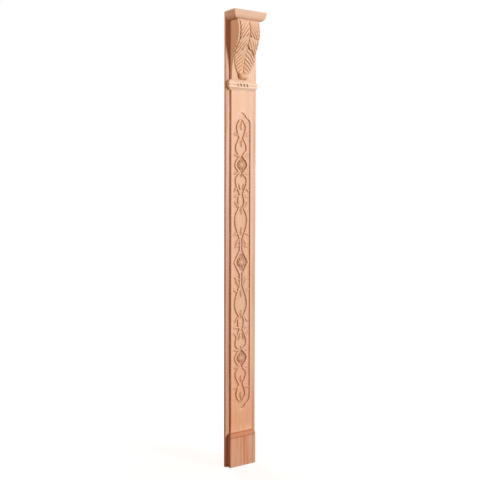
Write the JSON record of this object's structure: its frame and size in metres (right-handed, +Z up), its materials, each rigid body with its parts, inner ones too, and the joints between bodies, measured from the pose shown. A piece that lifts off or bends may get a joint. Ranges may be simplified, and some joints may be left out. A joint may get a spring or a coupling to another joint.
{
  "type": "carved wooden pilaster",
  "caption": "Slim flat-backed wooden pilaster with a carved vine panel, plinth, beaded collar, acanthus corbel and moulded cap, fixed to a wall or cabinet front.",
  "frame": {"origin": "centre of the flat back face, at mid-height", "axes": "+Z up along the pilaster, +Y out of the back face into the wall, +X to the right seen from the front"},
  "size_m": [0.2, 0.1035, 2.4],
  "materials": {
    "board_wood": "sanded, unfinished",
    "carved_wood": "sanded, unfinished",
    "plinth_wood": "sanded, unfinished",
    "collar_wood": "sanded, unfinished",
    "corbel_wood": "sanded, unfinished",
    "cap_wood": "sanded, unfinished"
  },
  "bodies": {
    "root": {"back_board": "board_wood", "shaft": "carved_wood", "plinth": "plinth_wood", "collar": "collar_wood", "corbel": "corbel_wood", "cap": "cap_wood"}
  },
  "joints": []
}
